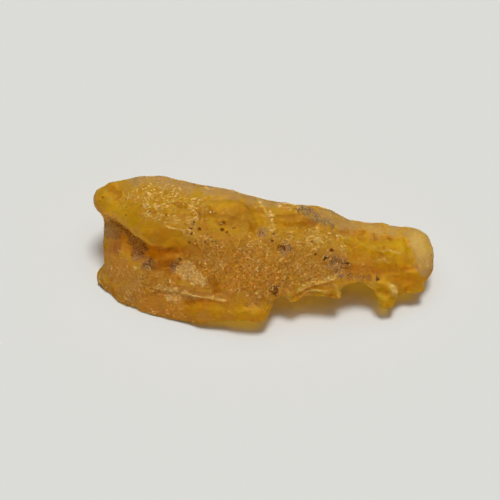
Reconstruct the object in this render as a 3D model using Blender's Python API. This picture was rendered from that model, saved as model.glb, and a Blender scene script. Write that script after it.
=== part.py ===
"""A raw piece of copal: one solid lump of fossil resin, long and low, lying on the flats it has worn underneath.

The lump starts as a skin stretched over cross-sections along its length. Knobs, lips, domes and broken blocks are
melted onto it, the hollows are cut out of it, and the whole is remeshed into one skin. Grooves, crests, dents and
pits are then worked into that skin by name, and an uneven weathering goes over it all. Last, the floor plane trims
the underside flat, so the piece rests as it lies.

Row frame: +X runs along the piece from the thick end to the thin one, +Y to its back, +Z up. The origin is on the
surface it rests on, under the middle of its box. Sizes are in millimetres until the mesh is finished.
"""

import math

import bmesh
import bpy
import numpy as np
from mathutils import Euler, Matrix, Vector, noise
from mathutils.bvhtree import BVHTree

MM = 0.001
NAME = "copal_piece"

# --- The skin: cross-sections from the thick end to the thin one --------------------------------------------------
# Each section has its X, then the (Y, Z) of nine lines that run the length of the piece: the ridge at the top of
# the back, the edge of the shelf, the hollow under it, the crusted face, the lowest front edge, the undercut
# behind that edge, the keel it lies on, the heel at the back, and the back face.
SECTIONS = (
    (-32.1, ((11.2, 13.6), (7.2, 13.4), (5.6, 9.6), (2.0, 5.8), (-2.0, 0.3),
             (-1.0, -1.0), (4.0, -0.6), (9.0, 0.4), (12.4, 7.0))),
    (-29.0, ((12.7, 14.7), (4.2, 13.8), (4.9, 10.2), (-0.2, 6.6), (-5.4, 0.1),
             (-4.6, -1.2), (3.0, -0.9), (10.5, 0.2), (14.6, 7.5))),
    (-22.5, ((12.1, 16.7), (0.6, 14.9), (0.7, 10.4), (-5.2, 6.8), (-9.9, 0.3),
             (-8.8, -0.9), (0.0, -1.0), (11.0, 0.2), (15.4, 8.5))),
    (-13.5, ((9.8, 16.6), (-2.2, 14.9), (-3.4, 11.4), (-7.5, 7.2), (-12.8, 1.5),
             (-10.6, 0.1), (-1.0, -1.0), (10.0, 0.2), (14.0, 8.5))),
    (-4.5, ((8.3, 15.7), (-2.2, 14.8), (-4.8, 11.8), (-8.7, 7.8), (-14.3, 3.4),
            (-10.8, 2.2), (-1.0, -0.8), (8.6, 0.3), (11.8, 8.0))),
    (1.2, ((7.1, 14.7), (-1.9, 14.0), (-4.8, 11.4), (-8.4, 8.0), (-14.0, 3.7),
           (-9.9, 2.9), (-1.0, -0.4), (7.8, 0.4), (11.0, 8.0))),
    (2.4, ((6.9, 14.6), (-1.8, 13.9), (-4.7, 11.3), (-7.6, 8.2), (-10.0, 5.5),
           (-7.6, 4.0), (-0.8, 0.0), (7.6, 0.5), (10.8, 8.0))),
    (10.5, ((5.7, 14.5), (-1.1, 13.2), (-4.2, 10.7), (-7.0, 7.7), (-9.6, 5.7),
            (-6.9, 4.6), (-0.5, 0.6), (6.2, 0.6), (9.0, 7.5))),
    (17.5, ((4.6, 11.8), (-0.7, 11.5), (-3.5, 9.8), (-5.7, 8.1), (-8.2, 7.1),
            (-5.2, 5.7), (0.2, 0.2), (5.0, -0.2), (7.8, 6.2))),
    (25.0, ((4.4, 10.7), (-1.0, 10.8), (-3.4, 9.2), (-5.4, 6.4), (-7.3, 4.3),
            (-5.3, 3.2), (-0.4, -0.4), (4.0, -0.4), (6.8, 5.6))),
    (30.0, ((4.0, 10.4), (-0.6, 9.9), (-2.8, 8.3), (-4.4, 6.0), (-5.8, 4.1),
            (-4.0, 2.6), (0.0, 0.9), (3.4, 1.2), (5.9, 5.6))),
    (32.8, ((3.0, 9.6), (0.0, 9.1), (-1.9, 7.6), (-3.4, 5.8), (-4.2, 4.2),
            (-2.8, 2.6), (0.2, 2.0), (2.8, 2.4), (4.6, 5.8))),
    (34.3, ((1.4, 7.4), (0.2, 7.4), (-0.8, 6.6), (-1.6, 5.6), (-2.0, 4.8),
            (-1.2, 4.2), (0.2, 4.0), (1.4, 4.6), (1.9, 6.0))),
)
RING_STEPS = 8  # skin points between two neighbouring lines
SKIN_STEP = 0.75  # along X

# --- Rounded lumps melted on: centre, half sizes, and turn in degrees ---------------------------------------------
LUMPS = {
    "knob": ((-31.1, 9.3, 12.9), (2.9, 3.0, 2.4), (0, 0, 0)),
    "knob_shoulder": ((-29.6, 11.4, 12.7), (3.1, 2.3, 2.2), (0, -8, 0)),
    "bottom_corner": ((-30.7, -1.0, -1.5), (3.6, 4.1, 4.4), (0, 0, 30)),
    "bottom_front": ((-27.2, -4.2, -1.5), (6.1, 3.35, 4.4), (0, 0, -38)),
    "lump_under_lip": ((-18.2, -2.8, 8.8), (3.4, 1.4, 2.6), (38, 0, 0)),
    "great_dome": ((-4.9, 1.3, 12.9), (5.4, 4.9, 3.2), (4, 0, 0)),
    "long_dome": ((4.9, 2.3, 13.2), (4.6, 2.5, 2.2), (0, 4, -8)),
    "moss_mound": ((8.6, 3.5, 13.4), (4.4, 2.9, 2.0), (0, 10, -14)),
    "glassy_swell": ((26.2, -1.4, 8.9), (3.6, 3.0, 2.0), (35, 0, 0)),
    "back_swell": ((-19.0, 13.4, 7.0), (8.0, 2.6, 5.0), (0, 0, -8)),
    "back_knuckle": ((2.0, 9.0, 6.0), (6.0, 2.4, 4.4), (0, 0, -6)),
    "tail_swell": ((23.0, 5.6, 5.0), (6.0, 1.8, 3.6), (0, 0, -4)),
}
# The shelf ends in a rolled lip: a row of balls along this line, which leans out over the hollow.
LIP_LINE = (
    (-30.2, 7.2, 12.9), (-28.0, 5.5, 12.9), (-25.8, 3.2, 12.9), (-23.6, 0.9, 12.8),
    (-21.6, -0.5, 12.7), (-19.2, -0.7, 12.7), (-16.9, 0.0, 13.0), (-15.2, 1.0, 13.6),
)
LIP_RADIUS = 1.9
LIP_SPACING = 0.9

# --- Broken blocks: the corners of each, wrapped in flat faces ----------------------------------------------------
BLOCKS = {
    "front_block": (
        (24.2, -2.0, 8.2), (30.2, -1.4, 8.0), (24.4, -4.6, 7.5), (30.6, -3.5, 7.1),
        (25.8, -8.0, 3.4), (32.3, -7.1, 3.4), (25.0, -2.0, 1.6), (31.4, -1.8, 1.8),
    ),
    "hanging_tooth": (
        (21.3, -4.2, 7.4), (25.8, -4.0, 7.2), (21.6, -7.5, 6.4), (26.0, -7.0, 6.1),
        (22.2, -9.4, 3.9), (23.0, -10.6, 2.9), (24.8, -11.2, 2.5), (26.2, -10.2, 3.0),
        (27.4, -8.6, 4.1), (24.4, -5.6, 2.8),
    ),
    "ledge": (
        (4.0, -10.3, 5.5), (5.2, -10.7, 4.8), (4.0, -6.0, 6.8), (7.2, -8.8, 7.2), (10.7, -7.5, 8.0),
        (14.8, -6.9, 8.0), (15.0, -8.5, 7.0), (13.8, -9.7, 5.5), (9.0, -10.6, 4.9), (10.0, -4.0, 5.0),
    ),
    "ledge_tooth": (
        (13.2, -6.6, 7.8), (15.7, -6.6, 7.6), (13.3, -9.2, 6.3), (15.9, -8.8, 5.9),
        (13.6, -10.2, 4.9), (15.2, -10.0, 4.6), (14.4, -6.4, 4.8),
    ),
}

# --- Hollows cut out before the skin is closed: centre, half sizes, turn in degrees --------------------------------
HOLLOWS = {
    "scoop_in_ledge": ((9.9, -11.0, 5.4), (4.2, 1.9, 1.5), (30, 8, -10)),
    "arch": ((18.6, -9.4, 4.3), (2.7, 5.6, 2.9), (0, 0, 0)),
    "end_notch": ((-33.7, 2.6, 8.8), (1.2, 4.6, 3.4), (0, 0, 0)),
}

# --- Lines worked into the skin: route, half width, and depth (a crest where the depth is below zero) --------------
GROOVES = {
    "under_lip": (((-29.6, 4.6, 10.6), (-26.6, 1.8, 10.4), (-24.0, -0.6, 10.0), (-21.4, -2.0, 10.2)), 1.9, 0.8),
    "dirt_run": (((-26.0, -0.4, 8.6), (-24.2, -2.8, 7.8), (-22.6, -4.4, 7.2)), 2.2, 0.5),
    "dome_rim": (((-4.6, 5.9, 15.9), (-1.4, 4.6, 15.6), (0.3, 1.7, 15.0), (-0.4, -1.4, 14.4)), 0.9, 0.5),
    "shelf_to_dome": (((-12.4, 2.6, 15.9), (-11.8, 0.0, 15.5), (-10.4, -2.2, 14.8), (-6.6, -3.2, 14.2)), 1.3, 0.5),
    "long_dome_foot": (((0.9, 3.0, 15.0), (3.2, 0.6, 14.4), (7.6, 0.9, 14.4), (9.6, 1.6, 14.2)), 0.9, 0.45),
    "mound_gap": (((6.6, 5.2, 15.4), (8.0, 3.2, 15.2), (9.2, 1.6, 14.4)), 0.8, 0.4),
    "strip_edge": (((10.6, 0.2, 13.6), (16.2, 1.2, 12.2), (23.0, 0.6, 11.2), (27.6, 2.0, 10.4)), 0.8, 0.35),
    "strip_step": (((-15.0, 6.4, 16.6), (-9.6, 5.8, 16.2), (-5.4, 6.6, 16.1)), 0.9, 0.35),
    "fracture_crest": (((-20.4, -6.7, 5.9), (-16.2, -7.0, 6.1), (-12.4, -8.0, 5.5), (-7.4, -8.4, 5.7)), 0.8, -0.4),
    "fracture_band": (((-19.4, -8.2, 4.6), (-15.0, -9.6, 4.4), (-10.4, -9.9, 4.7), (-6.4, -9.8, 5.2)), 1.5, 0.35),
    "lower_lip_crest": (((-12.4, -12.2, 3.9), (-6.0, -13.2, 4.5), (0.6, -12.8, 5.0)), 1.1, -0.25),
    "ledge_crest": (((4.3, -10.4, 5.5), (7.2, -8.7, 7.0), (10.7, -7.4, 7.8), (14.2, -6.6, 7.9)), 0.7, -0.5),
    "arch_fold": (((15.4, -5.2, 8.2), (18.4, -5.6, 8.2), (21.4, -5.4, 8.0)), 0.9, 0.4),
    "block_seam": (((21.8, -5.4, 7.6), (24.8, -4.6, 7.4), (27.6, -4.0, 7.3), (30.6, -3.5, 7.0)), 0.7, 0.45),
    "tooth_seam": (((25.4, -5.6, 6.8), (26.2, -7.3, 5.4), (27.0, -8.2, 4.2)), 0.7, 0.5),
    "tooth_crease": (((24.2, -7.3, 6.4), (24.6, -9.3, 4.6)), 0.6, -0.35),
    "pale_end_edge": (((27.8, 2.4, 10.3), (28.8, 0.2, 9.5), (29.3, -2.1, 8.3), (30.4, -4.0, 6.2)), 0.7, 0.4),
    "back_fold": (((-27.0, 14.6, 9.5), (-16.0, 13.8, 11.5), (-6.0, 11.4, 10.5)), 1.6, 0.7),
    "back_crack": (((-12.0, 13.6, 7.5), (-9.5, 13.0, 4.5), (-10.5, 11.5, 1.5)), 0.9, 0.8),
    "tail_fold": (((12.0, 8.4, 9.0), (20.0, 6.8, 7.6), (28.0, 6.2, 6.8)), 1.2, 0.5),
}

# --- Smooth dents (or swells, below zero): centre, half width, depth -----------------------------------------------
DENTS = {
    "pocket_below_frost": (-9.6, -8.2, 6.8, 2.2, 0.55),
    "pocket_in_crust": (-6.4, -6.0, 9.4, 2.0, 0.5),
    "frost_flat": (-13.6, -5.9, 8.6, 3.2, 0.3),
    "lip_end_pocket": (-12.8, -0.6, 15.2, 1.8, 0.5),
    "step_pocket": (2.0, -8.8, 7.0, 1.5, 0.6),
    "dark_hollow": (3.6, -3.6, 12.8, 2.0, 0.5),
    "dark_hollow_right": (13.8, -4.6, 10.0, 2.2, 0.4),
    "saddle": (18.6, 0.6, 11.8, 4.5, 0.4),
    "left_face_dish": (-30.0, 1.0, 6.6, 3.0, 0.35),
    "lower_lobe": (-24.6, -6.4, 3.6, 4.5, -0.5),
    "crust_swell": (2.6, -5.8, 10.2, 4.0, -0.35),
    "shelf_swell": (-19.6, 3.4, 16.0, 6.0, -0.35),
    "knob_crease": (-28.4, 11.6, 14.6, 2.4, 0.5),
    "back_dish": (12.0, 8.6, 5.0, 4.0, 0.6),
    "back_scoop": (-26.0, 14.6, 4.0, 4.0, 0.7),
    "tail_end_dish": (33.0, 1.6, 6.4, 1.8, 0.25),
}

# --- Pits of the crust: place near the skin, and half width --------------------------------------------------------
PITS = (
    (-13.7, -0.3, 15.8, 0.75), (-14.8, -1.6, 15.0, 0.7), (-12.6, -1.9, 15.2, 0.75), (-15.3, -2.4, 14.0, 0.6),
    (-10.9, -0.2, 15.8, 0.7), (-10.6, -1.8, 15.2, 0.7), (-9.3, -1.5, 15.2, 0.6), (2.1, -1.7, 14.4, 0.75),
    (3.6, -3.4, 13.0, 0.9), (10.1, -3.9, 11.3, 0.7), (13.4, -2.9, 11.3, 0.85), (14.9, -4.4, 9.6, 0.8),
    (11.2, -4.6, 10.4, 0.6), (22.4, -5.8, 7.2, 0.8), (-22.4, 1.4, 15.4, 0.6), (17.2, -5.4, 8.0, 0.7),
    (-25.2, -1.2, 8.6, 0.7), (-16.4, -4.6, 9.2, 0.7), (8.4, 9.0, 6.4, 0.9), (-14.0, 14.2, 6.0, 1.0),
    (-4.0, 12.0, 9.0, 0.8), (18.0, 7.4, 5.0, 0.8), (-22.0, 15.4, 9.0, 0.9), (27.5, 6.2, 4.0, 0.7),
)

PIT_DEPTH = 0.8  # of a half width

# --- Weathering: an uneven skin from noise: wave length, height, and a shift that makes each noise its own ---------
SWELLS = (9.0, 0.42, 3.1)
LUMPINESS = (3.4, 0.26, 7.7)
CRUST = (1.5, 0.12, 12.9)
WANDER = (3.0, 0.35, (21.3, 33.8, 45.1))  # how the worked lines stray from their routes, one shift for each axis
OCTAVES = 2
CRUST_FACE = ((0.0, -6.0, 9.0), 14.0)  # the crusted front, where the smallest waves are higher
CRUST_GAIN = 1.9

# --- Mesh ---------------------------------------------------------------------------------------------------------
VOXEL = 0.42  # of the remesh that melts the pieces together
SOFTEN = 2  # smoothing passes over its stairs
TRIANGLES = 9900
FLOOR = (90.0, 60.0, 8.0)  # the block that trims the underside

# --- Finish -------------------------------------------------------------------------------------------------------
RESIN = (0.60, 0.27, 0.035, 1.0)
RESIN_ROUGHNESS = 0.42
RESIN_IOR = 1.54
RESIN_TRANSMISSION = 0.4


def hermite(knots, values, at):
    """The value at a place on a smooth curve through values at uneven knots."""
    last = len(knots) - 1
    i = min(max(sum(k <= at for k in knots) - 1, 0), last - 1)
    span = knots[i + 1] - knots[i]
    t = (at - knots[i]) / span

    def slope(j):
        low, high = max(j - 1, 0), min(j + 1, last)
        return (values[high] - values[low]) / (knots[high] - knots[low])

    t2, t3 = t * t, t * t * t
    return (
        values[i] * (2 * t3 - 3 * t2 + 1)
        + slope(i) * span * (t3 - 2 * t2 + t)
        + values[i + 1] * (3 * t2 - 2 * t3)
        + slope(i + 1) * span * (t3 - t2)
    )


def ring(points):
    """A closed smooth loop through a section's (Y, Z) points, RING_STEPS places to each."""
    count = len(points)
    around = [Vector(points[i % count]) for i in range(-2, count + 3)]
    knots = [0.0]
    for a, b in zip(around, around[1:]):
        knots.append(knots[-1] + math.sqrt((b - a).length))
    loop = []
    for i in range(2, count + 2):
        for step in range(RING_STEPS):
            at = knots[i] + (knots[i + 1] - knots[i]) * step / RING_STEPS
            loop.append([hermite(knots, [p[axis] for p in around], at) for axis in (0, 1)])
    return loop


def skin():
    """The closed skin over the sections."""
    mesh = bmesh.new()
    places = [section[0] for section in SECTIONS]
    rings = [ring(section[1]) for section in SECTIONS]
    count = len(rings[0])
    rows = round((places[-1] - places[0]) / SKIN_STEP)
    loops = []
    for row in range(rows + 1):
        x = places[0] + (places[-1] - places[0]) * row / rows
        loop = []
        for i in range(count):
            y, z = (hermite(places, [r[i][axis] for r in rings], x) for axis in (0, 1))
            loop.append(mesh.verts.new((x, y, z)))
        loops.append(loop)
    for near, far in zip(loops, loops[1:]):
        for i in range(count):
            j = (i + 1) % count
            mesh.faces.new((near[i], near[j], far[j], far[i]))
    for loop in (loops[0], loops[-1]):
        cap = mesh.faces.new(loop)
        bmesh.ops.poke(mesh, faces=[cap])
    bmesh.ops.recalc_face_normals(mesh, faces=mesh.faces)
    return mesh


def add_ball(mesh, centre, half_sizes, turn=(0, 0, 0)):
    """Adds a closed ball, stretched to its half sizes and turned, to a mesh."""
    place = Matrix.LocRotScale(Vector(centre), Euler([math.radians(a) for a in turn]), Vector(half_sizes))
    bmesh.ops.create_icosphere(mesh, subdivisions=4, radius=1.0, matrix=place)


def add_block(mesh, corners):
    """Adds the closed block that wraps its corners in flat faces to a mesh."""
    block = bmesh.new()
    for corner in corners:
        block.verts.new(corner)
    wrap = bmesh.ops.convex_hull(block, input=block.verts)
    spare = {v for v in wrap["geom_interior"] + wrap["geom_unused"] if isinstance(v, bmesh.types.BMVert)}
    bmesh.ops.delete(block, geom=list(spare), context="VERTS")
    bmesh.ops.recalc_face_normals(block, faces=block.faces)
    shell = bpy.data.meshes.new("block")
    block.to_mesh(shell)
    block.free()
    mesh.from_mesh(shell)
    bpy.data.meshes.remove(shell)


def along(route, spacing):
    """Places along a route of straight stretches, about a spacing apart."""
    places = []
    for a, b in zip(route, route[1:]):
        a, b = Vector(a), Vector(b)
        steps = max(1, round((b - a).length / spacing))
        places += [a.lerp(b, i / steps) for i in range(steps)]
    return places + [Vector(route[-1])]


def new_object(name, mesh, guide=False):
    """Puts a bmesh in the scene as an object. A guide is only a tool for another object's modifier."""
    data = bpy.data.meshes.new(name)
    mesh.to_mesh(data)
    mesh.free()
    item = bpy.data.objects.new(name, data)
    bpy.context.scene.collection.objects.link(item)
    if guide:
        item.hide_render = True
        item.display_type = "WIRE"
    return item


def modified(item):
    """A bmesh of an object with its modifiers."""
    mesh = bmesh.new()
    mesh.from_object(item, bpy.context.evaluated_depsgraph_get())
    return mesh


def cut(item, tool):
    """Gives an object a Boolean that takes a tool's shape out of it."""
    boolean = item.modifiers.new(f"cut_{tool.name}", "BOOLEAN")
    boolean.operation = "DIFFERENCE"
    boolean.solver = "EXACT"
    boolean.object = tool


def melt():
    """The skin with its lumps, lip and blocks melted on and its hollows cut out, as one closed mesh."""
    mesh = skin()
    for centre, half_sizes, turn in LUMPS.values():
        add_ball(mesh, centre, half_sizes, turn)
    for place in along(LIP_LINE, LIP_SPACING):
        add_ball(mesh, place, (LIP_RADIUS, LIP_RADIUS, LIP_RADIUS))
    for corners in BLOCKS.values():
        add_block(mesh, corners)
    lump = new_object("melted", mesh)
    melting = lump.modifiers.new("melt", "REMESH")
    melting.mode = "VOXEL"
    melting.voxel_size = VOXEL
    for name, (centre, half_sizes, turn) in HOLLOWS.items():
        hollow = bmesh.new()
        add_ball(hollow, centre, half_sizes, turn)
        cut(lump, new_object(name, hollow, guide=True))
    closing = lump.modifiers.new("close", "REMESH")
    closing.mode = "VOXEL"
    closing.voxel_size = VOXEL
    softening = lump.modifiers.new("soften", "SMOOTH")
    softening.iterations = SOFTEN
    return modified(lump)


def fade(distance, reach):
    """1 at no distance, falling smoothly to 0 at the reach."""
    return np.clip(1 - (distance / reach) ** 2, 0, 1) ** 2


def away_from_route(points, route):
    """Each point's distance from a route of straight stretches."""
    nearest = np.full(len(points), np.inf)
    for a, b in zip(route, route[1:]):
        a, b = np.array(a), np.array(b)
        t = np.clip((points - a) @ (b - a) / ((b - a) @ (b - a)), 0, 1)
        nearest = np.minimum(nearest, np.linalg.norm(points - (a + t[:, None] * (b - a)), axis=1))
    return nearest


def waves(points, length, shift):
    """Noise of about a wave length at each point, between about -1 and 1."""
    away = Vector((shift, -2 * shift, 3 * shift))
    return np.array([noise.fractal(Vector(p) / length + away, 1.0, 2.0, OCTAVES) for p in points])


def weather(mesh):
    """Works the named grooves, dents and pits into the skin, along its own normals, then the uneven wear."""
    surface = BVHTree.FromBMesh(mesh)
    points = np.array([v.co for v in mesh.verts])
    normals = np.array([v.normal for v in mesh.verts])

    def on_skin(place):
        return tuple(surface.find_nearest(Vector(place))[0])

    sink = np.zeros(len(points))
    length, height, shifts = WANDER
    strayed = points + height * np.stack([waves(points, length, shift) for shift in shifts], axis=1)
    for route, half_width, depth in GROOVES.values():
        sink += depth * fade(away_from_route(strayed, [on_skin(p) for p in route]), half_width)
    for x, y, z, half_width, depth in DENTS.values():
        sink += depth * fade(np.linalg.norm(points - on_skin((x, y, z)), axis=1), half_width)
    for x, y, z, half_width in PITS:
        sink += PIT_DEPTH * half_width * fade(np.linalg.norm(points - on_skin((x, y, z)), axis=1), half_width)
    crusted = 1 + (CRUST_GAIN - 1) * fade(np.linalg.norm(points - CRUST_FACE[0], axis=1), CRUST_FACE[1])
    for (length, height, shift), gain in ((SWELLS, 1), (LUMPINESS, 1), (CRUST, crusted)):
        sink += height * gain * waves(points, length, shift)
    for vertex, place in zip(mesh.verts, points - normals * sink[:, None]):
        vertex.co = place


def thin_out_and_trim(mesh):
    """The mesh at its final number of triangles, with the floor's flats under it."""
    lump = new_object("worn", mesh)
    triangles = lump.modifiers.new("triangles", "TRIANGULATE")
    triangles.quad_method = "SHORTEST_DIAGONAL"
    thinning = lump.modifiers.new("thin_out", "DECIMATE")
    thinning.ratio = TRIANGLES / (2 * len(lump.data.polygons))
    floor = bmesh.new()
    below = Matrix.Translation((0, 0, -FLOOR[2] / 2))
    bmesh.ops.create_cube(floor, size=1.0, matrix=below @ Matrix.Diagonal((*FLOOR, 1.0)))
    cut(lump, new_object("floor_trim", floor, guide=True))
    return modified(lump)


def resin():
    """Clear amber-coloured resin under a dull skin."""
    material = bpy.data.materials.new("copal_resin")
    material.use_nodes = True
    shader = material.node_tree.nodes["Principled BSDF"]
    shader.inputs["Base Color"].default_value = RESIN
    shader.inputs["Roughness"].default_value = RESIN_ROUGHNESS
    shader.inputs["Metallic"].default_value = 0.0
    shader.inputs["IOR"].default_value = RESIN_IOR
    shader.inputs["Transmission Weight"].default_value = RESIN_TRANSMISSION
    return material


def main():
    for old in list(bpy.data.objects):
        bpy.data.objects.remove(old)
    mesh = melt()
    weather(mesh)
    mesh = thin_out_and_trim(mesh)
    for tool in list(bpy.data.objects):
        bpy.data.objects.remove(tool)
    bmesh.ops.triangulate(mesh, faces=mesh.faces)
    low = [min(v.co[axis] for v in mesh.verts) for axis in range(3)]
    high = [max(v.co[axis] for v in mesh.verts) for axis in range(3)]
    middle = Vector(((low[0] + high[0]) / 2, (low[1] + high[1]) / 2, low[2]))
    bmesh.ops.translate(mesh, vec=-middle, verts=mesh.verts)
    bmesh.ops.scale(mesh, vec=(MM, MM, MM), verts=mesh.verts)
    piece = new_object(NAME, mesh)
    piece.data.materials.append(resin())
    piece.data.shade_smooth()
    print(f"{NAME}: {len(piece.data.polygons)} triangles, middle moved by {tuple(round(m, 3) for m in middle)}")


main()
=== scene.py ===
# %% [markdown]
# # A raw piece of copal
#
# Copal is tree resin that has lain in the ground long enough to harden, though not long enough to become
# amber. A raw piece is clear and amber-coloured inside. Outside it wears a dull crust of weathered resin,
# sand and dirt, and where it has chipped or been rubbed the clear resin shows. Thin rims and lips let light
# through and look pale yellow, thick lumps look deep orange, and hollows hold purple-grey dirt.
#
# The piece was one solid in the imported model, about nine thousand flat triangles. This lesson gives it a
# fine skin, works the small relief into that skin, paints where each finish lies, strews it with chips,
# sand and dust, and builds one resin material that reads the paint.

import math

import bpy
import numpy as np
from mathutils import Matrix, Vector, noise


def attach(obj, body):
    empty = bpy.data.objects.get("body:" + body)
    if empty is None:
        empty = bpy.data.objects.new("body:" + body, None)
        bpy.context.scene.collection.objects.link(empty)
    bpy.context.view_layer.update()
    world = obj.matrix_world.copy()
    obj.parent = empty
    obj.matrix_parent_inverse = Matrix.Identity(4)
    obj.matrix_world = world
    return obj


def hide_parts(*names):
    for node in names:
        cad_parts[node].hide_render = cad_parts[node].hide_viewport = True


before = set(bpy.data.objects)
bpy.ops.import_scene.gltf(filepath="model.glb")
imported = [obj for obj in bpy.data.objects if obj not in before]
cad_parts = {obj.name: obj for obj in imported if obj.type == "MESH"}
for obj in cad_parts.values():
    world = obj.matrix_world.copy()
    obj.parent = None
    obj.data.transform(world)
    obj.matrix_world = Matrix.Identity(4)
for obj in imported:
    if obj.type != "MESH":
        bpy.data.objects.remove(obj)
scene = bpy.context.scene
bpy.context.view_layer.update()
MM = 0.001
NODE = "copal_piece"

# %% [markdown]
# ## The camera
#
# A small piece like this is looked at from arm's length or less, half from above. The camera could be set
# with a constraint that tracks a target, but a rotation worked out once stays put when another view moves
# the camera.

# %% Set the camera
ELEVATION = math.radians(50)
DISTANCE = 250 * MM
LENS = 90  # mm
AIM = Vector((-2.698, 0.040, 7.0)) * MM

backwards = Vector((0, -math.cos(ELEVATION), math.sin(ELEVATION)))
camera = bpy.data.objects.new("camera", bpy.data.cameras.new("camera"))
scene.collection.objects.link(camera)
camera.data.lens = LENS
camera.data.clip_start = 10 * MM
camera.location = AIM + backwards * DISTANCE
camera.rotation_euler = (-backwards).to_track_quat("-Z", "Y").to_euler()
bpy.context.scene.camera = camera
print("camera at, mm:", [round(c / MM) for c in camera.location])

# %% [markdown]
# ## Floor and light
#
# A mineral is usually shown on a pale sheet under a soft light. Suns light the sheet evenly as far as the
# eye goes, where an area lamp would leave a bright pool. The key sun stands nearly overhead, a little
# behind the piece and to its right, so its shade falls forwards. A second sun with a very wide disc is the
# glow of a ceiling. Little light comes from the front, so the shade under the piece keeps the amber of the
# light that has passed through the resin.

# %% Lay the floor
FLOOR_SIZE = 6.0  # m
FLOOR_COLOUR = (0.565, 0.565, 0.54, 1.0)

bpy.ops.mesh.primitive_plane_add(size=FLOOR_SIZE, location=(0, 0, 0))
floor = bpy.context.object
floor.name = "floor"
paper = bpy.data.materials.new("pale_paper")
paper.use_nodes = True
sheet = paper.node_tree.nodes["Principled BSDF"].inputs
sheet["Base Color"].default_value = FLOOR_COLOUR
sheet["Roughness"].default_value = 0.9
sheet["Specular IOR Level"].default_value = 0.1
floor.data.materials.append(paper)
print("a floor of", FLOOR_SIZE, "m")

# %% Hang the suns
SUNS = {  # the way to each, how wide its disc is in degrees, and its strength
    "key": ((0.09, 0.15, 1.0), 20, 2.67),
    "ceiling": ((0.02, 0.22, 1.0), 76, 1.14),
}
for name, (way, disc, strength) in SUNS.items():
    sun = bpy.data.objects.new(name, bpy.data.lights.new(name, "SUN"))
    scene.collection.objects.link(sun)
    sun.data.energy = strength
    sun.data.angle = math.radians(disc)
    sun.rotation_euler = (-Vector(way)).to_track_quat("-Z", "Y").to_euler()
print("lit by", ", ".join(SUNS))

# %% Set the sky
SKY_GLOW = 0.07  # the light that it sheds on the piece
BACKDROP = (0.62, 0.62, 0.6, 1.0)  # the colour that the eye sees past the floor

sky = bpy.data.worlds.new("sky")
sky.use_nodes = True
nodes, link = sky.node_tree.nodes, sky.node_tree.links.new
glow = nodes["Background"]
glow.inputs["Color"].default_value = (1, 1, 1, 1)
glow.inputs["Strength"].default_value = SKY_GLOW
backdrop = nodes.new("ShaderNodeBackground")
backdrop.inputs["Color"].default_value = BACKDROP
seen = nodes.new("ShaderNodeMixShader")
rays = nodes.new("ShaderNodeLightPath")
link(rays.outputs["Is Camera Ray"], seen.inputs["Fac"])
link(glow.outputs["Background"], seen.inputs[1])
link(backdrop.outputs["Background"], seen.inputs[2])
link(seen.outputs["Shader"], nodes["World Output"].inputs["Surface"])
scene.world = sky
scene.view_settings.view_transform = "Standard"
print("a sky that glows at", SKY_GLOW)

# %% [markdown]
# ## The fine skin
#
# The solid's triangles are about a millimetre wide, and the crust's grains are a quarter of that.
# Subdividing alone would leave uneven faces, so the copy is first rounded by a subdivision, and then a
# voxel remesh wraps it in even squares a quarter of a millimetre wide. A little smoothing takes the
# remesh's stairs away.


# %% Wrap a copy of the solid in fine squares
VOXEL = 0.27 * MM
SOFTEN = 2  # passes


def select_only(item):
    """Leaves one object selected and active, because an operator acts on all that is selected."""
    bpy.ops.object.select_all(action="DESELECT")
    item.select_set(True)
    bpy.context.view_layer.objects.active = item


def apply_modifier(item, kind, **settings):
    """Adds a modifier with its settings and applies it."""
    select_only(item)
    modifier = item.modifiers.new(kind.lower(), kind)
    for setting, value in settings.items():
        setattr(modifier, setting, value)
    bpy.ops.object.modifier_apply(modifier=modifier.name)


select_only(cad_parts[NODE])
bpy.ops.object.duplicate()
piece = bpy.context.object
piece.name = "copal"
piece.data.materials.clear()
bpy.ops.object.mode_set(mode="EDIT")
bpy.ops.mesh.select_all(action="SELECT")
bpy.ops.mesh.remove_doubles(threshold=0.001 * MM)
bpy.ops.object.mode_set(mode="OBJECT")
apply_modifier(piece, "SUBSURF", levels=1, render_levels=1)
apply_modifier(piece, "REMESH", mode="VOXEL", voxel_size=VOXEL)
apply_modifier(piece, "SMOOTH", factor=0.5, iterations=SOFTEN)
print("fine skin:", len(piece.data.polygons), "squares")

# %% [markdown]
# ## Where things are
#
# Everything on the piece is named by its place in millimetres: +X runs to the thin end, +Y to the back. A
# daub is a round patch (x, y, z, reach) that fades out at its reach. A stroke is a half width and a route.
# Straight edges would look like a sticker, so most distances are measured from points that stray a little,
# as weathering does.


# %% Read and move points
def read_points(item, kind="co"):
    """The places of an object's vertices, or their normals, as rows of an array."""
    flat = np.empty(len(item.data.vertices) * 3)
    item.data.vertices.foreach_get(kind, flat)
    return flat.reshape(-1, 3)


def move_points(item, points):
    """Puts an object's vertices at the places given in metres."""
    item.data.vertices.foreach_set("co", points.ravel())
    item.data.update()


def share(where):
    """How much of the skin a condition holds for, in words."""
    return f"{100 * where.mean():.1f}% of the skin"


# %% Draw noise and ramps
def waves(points, length, octaves, offset):
    """Noise of about a wave length at each point, between about -1 and 1."""
    shift = Vector((offset, -2 * offset, 3 * offset))
    return np.array([noise.fractal(Vector(p) / length + shift, 1.0, 2.0, octaves) for p in points])


def fade(distance, reach):
    """1 at no distance, falling smoothly to 0 at the reach."""
    return np.clip(1 - (distance / reach) ** 2, 0, 1) ** 2


def ramp(values, low, high):
    """0 below low, 1 above high, straight between."""
    return np.clip((values - low) / (high - low), 0, 1)


# %% Measure from daubs and strokes
def daubs(points, places):
    """The strongest of several daubs at each point."""
    weight = np.zeros(len(points))
    for x, y, z, reach in places:
        weight = np.maximum(weight, fade(np.linalg.norm(points - (x, y, z), axis=1), reach))
    return weight


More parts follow.
